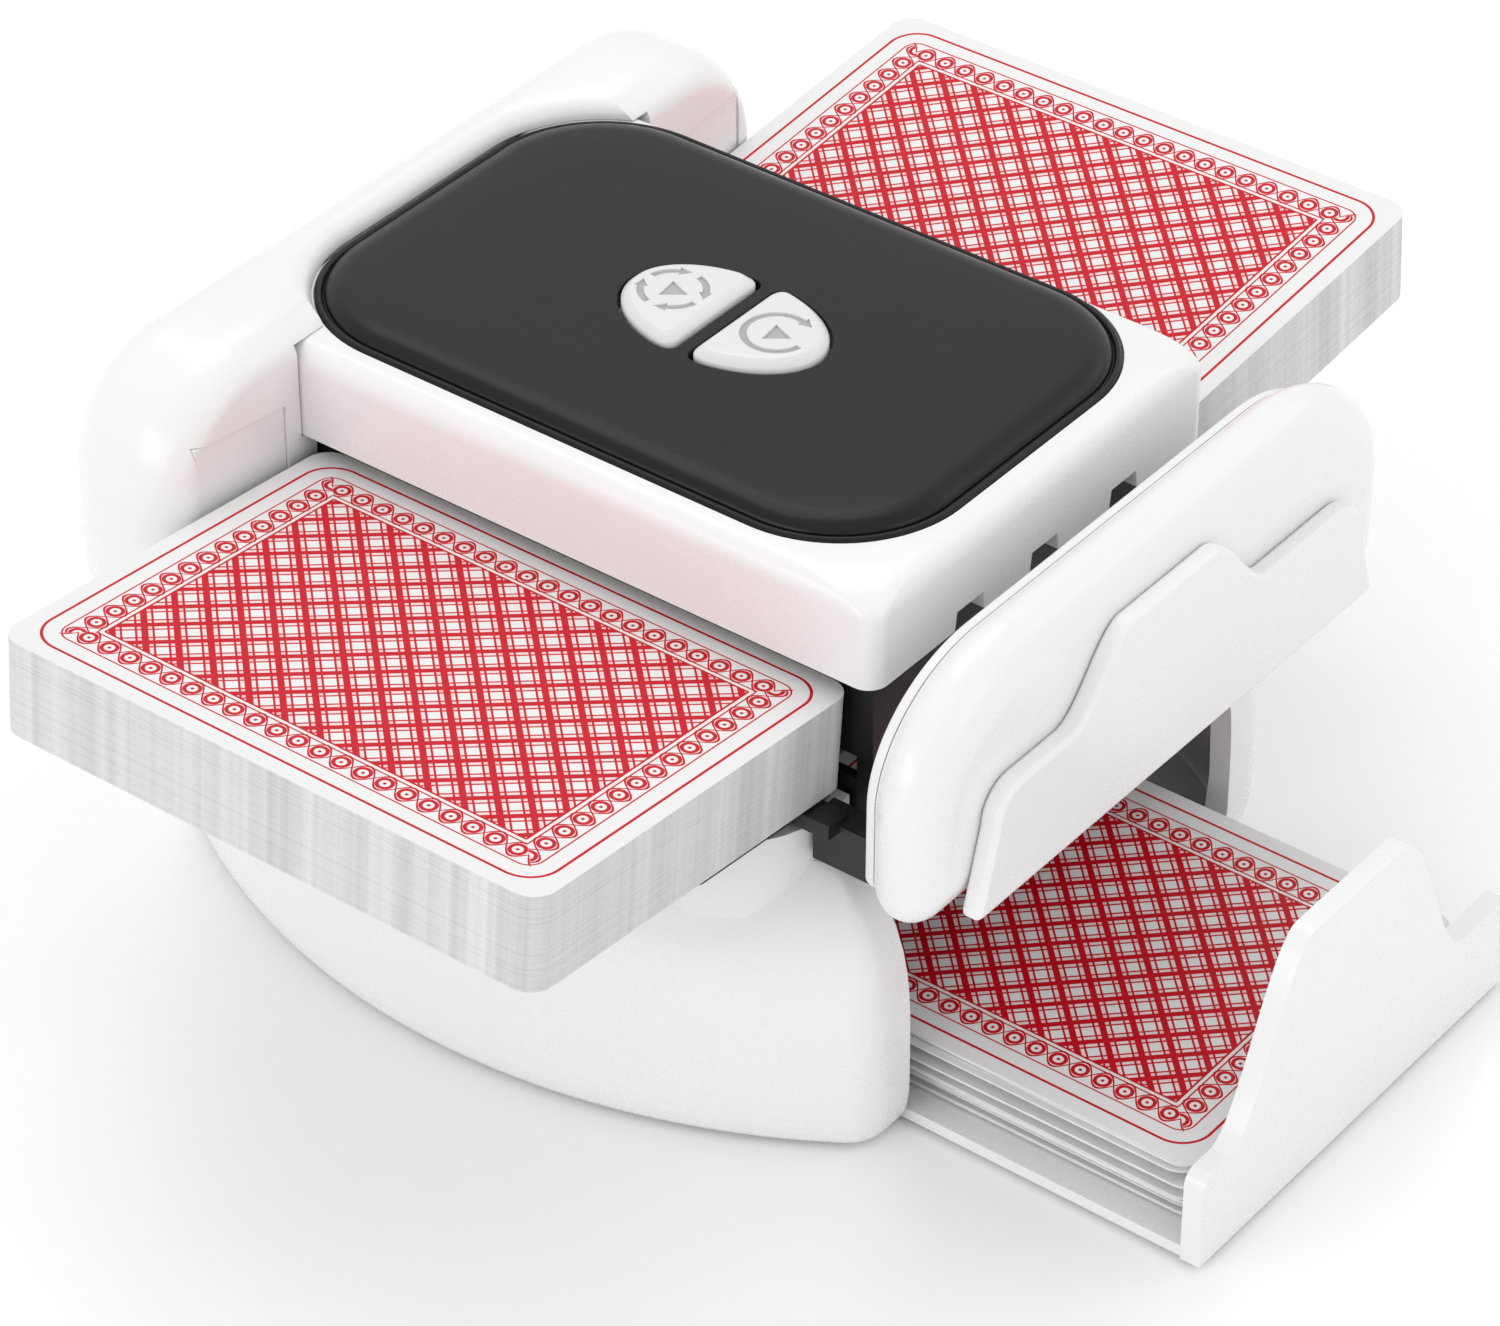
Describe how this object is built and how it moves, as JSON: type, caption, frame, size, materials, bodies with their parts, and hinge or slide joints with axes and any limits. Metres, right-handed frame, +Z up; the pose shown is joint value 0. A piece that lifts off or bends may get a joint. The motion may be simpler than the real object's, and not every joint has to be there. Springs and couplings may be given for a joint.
{
  "type": "automatic card shuffler",
  "caption": "Two-deck automatic card shuffler: side trays feed cards by driven rollers into a central shaft above a sliding drawer, with press keys on a black top panel.",
  "frame": {"origin": "centre of the bounding box at the underside of the feet, with the drawer open and the card packs in place", "axes": "+X the way the drawer opens, +Y towards the back tray, +Z up"},
  "size_m": [0.168, 0.1964, 0.0854],
  "materials": {
    "base_shell": "smooth white",
    "bottom_plate_front": "satin white",
    "bottom_plate_back": "satin white",
    "core_frame": "satin black",
    "tray_front": "satin black",
    "tray_back": "satin black",
    "cards_front": "coated card",
    "cards_back": "coated card",
    "cards_drawer": "coated card",
    "roller_shaft_front": "ground",
    "roller_shaft_back": "ground",
    "feed_roller_front": "matt",
    "feed_roller_back": "matt",
    "roller_gear_front": "nylon",
    "roller_gear_back": "nylon",
    "motor_pinion_front": "machined",
    "motor_pinion_back": "machined",
    "motor_front": "zinc plated",
    "motor_back": "zinc plated",
    "top_cover": "smooth white",
    "top_panel": "polished black",
    "button_left": "smooth white",
    "button_right": "smooth white",
    "dome_left": "silicone",
    "dome_right": "silicone",
    "control_board": "solder mask",
    "left_arm_shell": "smooth white",
    "left_guide_front": "smooth white",
    "left_guide_back": "smooth white",
    "right_arm_shell": "smooth white",
    "right_arm_liner": "smooth white",
    "right_arm_badge": "smooth white",
    "drawer": "smooth white",
    "drawer_rail_front": "satin black",
    "drawer_rail_back": "satin black",
    "battery_cell": "sleeved",
    "charge_socket": "stamped",
    "foot_front_left": "matt",
    "foot_front_right": "matt",
    "foot_back_left": "matt",
    "foot_back_right": "matt",
    "screw_front_left": "zinc plated",
    "screw_front_right": "zinc plated",
    "screw_back_left": "zinc plated",
    "screw_back_right": "zinc plated"
  },
  "bodies": {
    "frame": {"base_shell": "base_shell", "bottom_plate_front": "bottom_plate_front", "bottom_plate_back": "bottom_plate_back", "core_frame": "core_frame", "tray_front": "tray_front", "tray_back": "tray_back", "motor_front": "motor_front", "motor_back": "motor_back", "top_cover": "top_cover", "top_panel": "top_panel", "dome_left": "dome_left", "dome_right": "dome_right", "control_board": "control_board", "left_arm_shell": "left_arm_shell", "left_guide_front": "left_guide_front", "left_guide_back": "left_guide_back", "right_arm_shell": "right_arm_shell", "right_arm_liner": "right_arm_liner", "right_arm_badge": "right_arm_badge", "drawer_rail_front": "drawer_rail_front", "drawer_rail_back": "drawer_rail_back", "battery_cell": "battery_cell", "charge_socket": "charge_socket", "foot_front_left": "foot_front_left", "foot_front_right": "foot_front_right", "foot_back_left": "foot_back_left", "foot_back_right": "foot_back_right", "screw_front_left": "screw_front_left", "screw_front_right": "screw_front_right", "screw_back_left": "screw_back_left", "screw_back_right": "screw_back_right"},
    "drawer": {"drawer": "drawer"},
    "drawer_cards": {"cards_drawer": "cards_drawer"},
    "front_cards": {"cards_front": "cards_front"},
    "back_cards": {"cards_back": "cards_back"},
    "left_button": {"button_left": "button_left"},
    "right_button": {"button_right": "button_right"},
    "roller_front": {"roller_shaft_front": "roller_shaft_front", "feed_roller_front": "feed_roller_front", "roller_gear_front": "roller_gear_front"},
    "pinion_front": {"motor_pinion_front": "motor_pinion_front"},
    "roller_back": {"roller_shaft_back": "roller_shaft_back", "feed_roller_back": "feed_roller_back", "roller_gear_back": "roller_gear_back"},
    "pinion_back": {"motor_pinion_back": "motor_pinion_back"}
  },
  "joints": [
    {"name": "drawer_slide", "type": "slide", "parent": "frame", "child": "drawer", "axis": [1, 0, 0], "range_m": [-0.042, 0]},
    {"name": "drawer_cards_lift", "type": "slide", "parent": "drawer", "child": "drawer_cards", "axis": [0, 0, 1], "range_m": [0, 0.02]},
    {"name": "front_cards_slide", "type": "slide", "parent": "frame", "child": "front_cards", "axis": [0, -0.9962, 0.0872], "range_m": [0, 0.04]},
    {"name": "back_cards_slide", "type": "slide", "parent": "frame", "child": "back_cards", "axis": [0, 0.9962, 0.0872], "range_m": [0, 0.04]},
    {"name": "left_button_press", "type": "slide", "parent": "frame", "child": "left_button", "axis": [0, 0, -1], "range_m": [0, 0.0008], "stiffness_N_per_m": 300},
    {"name": "right_button_press", "type": "slide", "parent": "frame", "child": "right_button", "axis": [0, 0, -1], "range_m": [0, 0.0008], "stiffness_N_per_m": 300},
    {"name": "roller_front_spin", "type": "hinge", "parent": "frame", "child": "roller_front", "pos_m": [-0.022, -0.042, 0.0456], "axis": [1, 0, 0], "continuous": true},
    {"name": "pinion_front_spin", "type": "hinge", "parent": "frame", "child": "pinion_front", "pos_m": [-0.022, -0.0402, 0.03278], "axis": [1, 0, 0], "continuous": true},
    {"name": "roller_back_spin", "type": "hinge", "parent": "frame", "child": "roller_back", "pos_m": [-0.022, 0.042, 0.0456], "axis": [1, 0, 0], "continuous": true},
    {"name": "pinion_back_spin", "type": "hinge", "parent": "frame", "child": "pinion_back", "pos_m": [-0.022, 0.0402, 0.03278], "axis": [1, 0, 0], "continuous": true}
  ],
  "couplings": [
    {"joint": "pinion_front_spin", "follows": "roller_front_spin", "ratio": -1.2857},
    {"joint": "pinion_back_spin", "follows": "roller_back_spin", "ratio": -1.2857}
  ]
}
